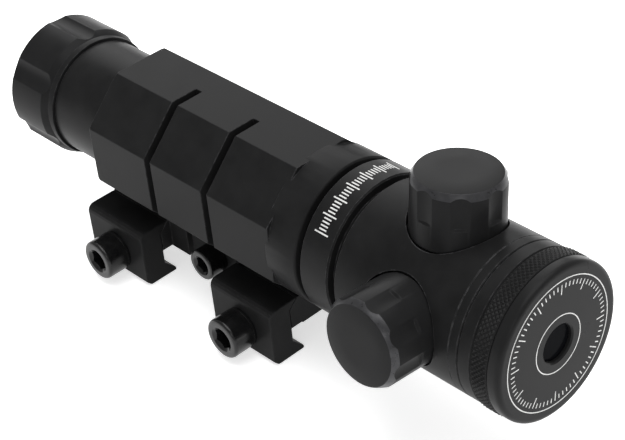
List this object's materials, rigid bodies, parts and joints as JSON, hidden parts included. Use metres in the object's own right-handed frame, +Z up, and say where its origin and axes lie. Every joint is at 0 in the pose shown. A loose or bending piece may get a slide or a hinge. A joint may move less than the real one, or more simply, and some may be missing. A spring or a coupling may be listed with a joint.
{
  "type": "rail-mounted laser sight",
  "caption": "Tube laser sight with elevation and windage turrets under screw caps, in an octagonal clamp sleeve with jaws for a dovetail accessory rail.",
  "frame": {"origin": "on the rail seat, over the rail's centreline, midway between the two jaw screws", "axes": "+X along the beam, +Z up from the rail to the optical axis, -Y the side of the moving jaws"},
  "size_m": [0.1445, 0.0418, 0.0543],
  "materials": {
    "anodised": "black hard-anodised aluminium, fine satin grain",
    "anodised_cap": "black anodised aluminium, turned and slightly lighter on its flats",
    "black_oxide": "glossy black oxide steel",
    "brass": "turned brass",
    "steel": "ground steel",
    "spring_steel": "drawn spring wire",
    "gold_contact": "gold-plated contact",
    "rubber": "black nitrile rubber",
    "black_plastic": "black moulded plastic",
    "liner_plastic": "off-white insulating tube",
    "cell_wrap": "plain printed cell wrap",
    "optical_glass": "coated optical glass",
    "circuit_board": "green solder mask",
    "wire_red": "wire insulation"
  },
  "bodies": {
    "root": {"clamp_sleeve": "anodised", "sight_tube": "anodised", "lock_ring": "anodised", "turret_housing": "anodised", "front_ring": "anodised", "battery_liner": "liner_plastic", "battery_cells": "cell_wrap", "contact_holder": "black_plastic", "contact_spring": "gold_contact", "lead_wires": "wire_red", "elevation_bush": "brass", "windage_bush": "brass", "return_springs": "spring_steel"},
    "gimbal": {"gimbal_ring": "brass", "gimbal_pins": "steel"},
    "laser_module": {"laser_barrel": "brass", "pivot_pins": "steel", "diode_holder": "brass", "laser_diode": "gold_contact", "collimating_lens": "optical_glass", "lens_retainer": "anodised", "driver_board": "circuit_board"},
    "elevation_adjuster": {"elevation_dial": "brass"},
    "elevation_pusher": {"elevation_plunger": "steel"},
    "elevation_seal": {"elevation_cap_seal": "rubber"},
    "elevation_cover": {"elevation_cap": "anodised_cap"},
    "windage_adjuster": {"windage_dial": "brass"},
    "windage_pusher": {"windage_plunger": "steel"},
    "windage_seal": {"windage_cap_seal": "rubber"},
    "windage_cover": {"windage_cap": "anodised_cap"},
    "front_gasket": {"front_seal": "rubber"},
    "front_cover": {"front_cap": "anodised_cap", "window": "optical_glass", "window_retainer": "anodised"},
    "rear_gasket": {"tail_gasket": "rubber"},
    "rear_cover": {"tail_cap": "anodised_cap", "switch_body": "black_plastic", "tail_contact": "gold_contact", "battery_spring": "gold_contact"},
    "push_button": {"switch_button": "rubber"},
    "jaw_front": {"front_jaw": "anodised", "jaw_washer_front": "black_oxide"},
    "screw_front": {"jaw_screw_front": "black_oxide"},
    "jaw_rear": {"rear_jaw": "anodised", "jaw_washer_rear": "black_oxide"},
    "screw_rear": {"jaw_screw_rear": "black_oxide"},
    "strap_washer": {"sleeve_washer": "black_oxide"},
    "strap_screw": {"sleeve_screw": "black_oxide"}
  },
  "joints": [
    {"name": "gimbal_yaw", "type": "hinge", "parent": "root", "child": "gimbal", "pos_m": [0.0815, 0, 0.0222], "axis": [0, 0.0958, 0.9954], "range_deg": [-0.85, 0.85], "stiffness_Nm_per_rad": 0.6},
    {"name": "laser_pitch", "type": "hinge", "parent": "gimbal", "child": "laser_module", "pos_m": [0.0815, 0, 0.0222], "axis": [0, 0.9954, -0.0958], "range_deg": [-0.85, 0.85], "stiffness_Nm_per_rad": 0.6},
    {"name": "elevation_dial_turn", "type": "hinge", "parent": "root", "child": "elevation_adjuster", "pos_m": [0.0647, 0.00144, 0.03713], "axis": [0, 0.0958, 0.9954], "range_deg": [-180, 180]},
    {"name": "elevation_plunger_travel", "type": "slide", "parent": "root", "child": "elevation_pusher", "axis": [0, 0.0958, 0.9954], "range_m": [-0.00025, 0.00025]},
    {"name": "windage_dial_turn", "type": "hinge", "parent": "root", "child": "windage_adjuster", "pos_m": [0.0647, -0.01493, 0.02364], "axis": [0, -0.9954, 0.0958], "range_deg": [-180, 180]},
    {"name": "windage_plunger_travel", "type": "slide", "parent": "root", "child": "windage_pusher", "axis": [0, -0.9954, 0.0958], "range_m": [-0.00025, 0.00025]},
    {"name": "elevation_cap_travel", "type": "slide", "parent": "root", "child": "elevation_seal", "axis": [0, 0.0958, 0.9954], "range_m": [0, 0.0045]},
    {"name": "elevation_cap_turn", "type": "hinge", "parent": "elevation_seal", "child": "elevation_cover", "pos_m": [0.0647, 0.00172, 0.04012], "axis": [0, 0.0958, 0.9954], "range_deg": [0, 2160]},
    {"name": "windage_cap_travel", "type": "slide", "parent": "root", "child": "windage_seal", "axis": [0, -0.9954, 0.0958], "range_m": [0, 0.0045]},
    {"name": "windage_cap_turn", "type": "hinge", "parent": "windage_seal", "child": "windage_cover", "pos_m": [0.0647, -0.01792, 0.02392], "axis": [0, -0.9954, 0.0958], "range_deg": [0, 2160]},
    {"name": "front_cap_travel", "type": "slide", "parent": "root", "child": "front_gasket", "axis": [1, 0, 0], "range_m": [0, 0.00375]},
    {"name": "front_cap_turn", "type": "hinge", "parent": "front_gasket", "child": "front_cover", "pos_m": [0.0865, 0, 0.0222], "axis": [1, 0, 0], "range_deg": [0, 1800]},
    {"name": "tail_cap_travel", "type": "slide", "parent": "root", "child": "rear_gasket", "axis": [-1, 0, 0], "range_m": [0, 0.008]},
    {"name": "tail_cap_turn", "type": "hinge", "parent": "rear_gasket", "child": "rear_cover", "pos_m": [-0.045, 0, 0.0222], "axis": [-1, 0, 0], "range_deg": [0, 2880]},
    {"name": "switch_press", "type": "slide", "parent": "rear_cover", "child": "push_button", "axis": [1, 0, 0], "range_m": [0, 0.0012], "stiffness_N_per_m": 400},
    {"name": "front_jaw_travel", "type": "slide", "parent": "root", "child": "jaw_front", "axis": [0, -1, 0], "range_m": [0, 0.0032]},
    {"name": "front_jaw_screw_turn", "type": "hinge", "parent": "jaw_front", "child": "screw_front", "pos_m": [0.02002, -0.016, -0.0004], "axis": [0, -1, 0], "range_deg": [0, 1440]},
    {"name": "rear_jaw_travel", "type": "slide", "parent": "root", "child": "jaw_rear", "axis": [0, -1, 0], "range_m": [0, 0.0032]},
    {"name": "rear_jaw_screw_turn", "type": "hinge", "parent": "jaw_rear", "child": "screw_rear", "pos_m": [-0.02002, -0.016, -0.0004], "axis": [0, -1, 0], "range_deg": [0, 1440]},
    {"name": "sleeve_screw_travel", "type": "slide", "parent": "root", "child": "strap_washer", "axis": [0, -1, 0], "range_m": [0, 0.0014]},
    {"name": "sleeve_screw_turn", "type": "hinge", "parent": "strap_washer", "child": "strap_screw", "pos_m": [0.004, -0.008, 0.0047], "axis": [0, -1, 0], "range_deg": [0, 720]}
  ],
  "couplings": [
    {"joint": "elevation_dial_turn", "follows": "elevation_plunger_travel", "rad_per_m": 12566},
    {"joint": "laser_pitch", "follows": "elevation_plunger_travel", "rad_per_m": 59.517},
    {"joint": "windage_dial_turn", "follows": "windage_plunger_travel", "rad_per_m": 12566},
    {"joint": "gimbal_yaw", "follows": "windage_plunger_travel", "rad_per_m": 59.517},
    {"joint": "elevation_cap_turn", "follows": "elevation_cap_travel", "rad_per_m": 8377.5},
    {"joint": "windage_cap_turn", "follows": "windage_cap_travel", "rad_per_m": 8377.5},
    {"joint": "front_cap_turn", "follows": "front_cap_travel", "rad_per_m": 8377.5},
    {"joint": "tail_cap_turn", "follows": "tail_cap_travel", "rad_per_m": 6283.1},
    {"joint": "front_jaw_screw_turn", "follows": "front_jaw_travel", "rad_per_m": 7853.9},
    {"joint": "rear_jaw_screw_turn", "follows": "rear_jaw_travel", "rad_per_m": 7853.9},
    {"joint": "sleeve_screw_turn", "follows": "sleeve_screw_travel", "rad_per_m": 8975.9}
  ]
}
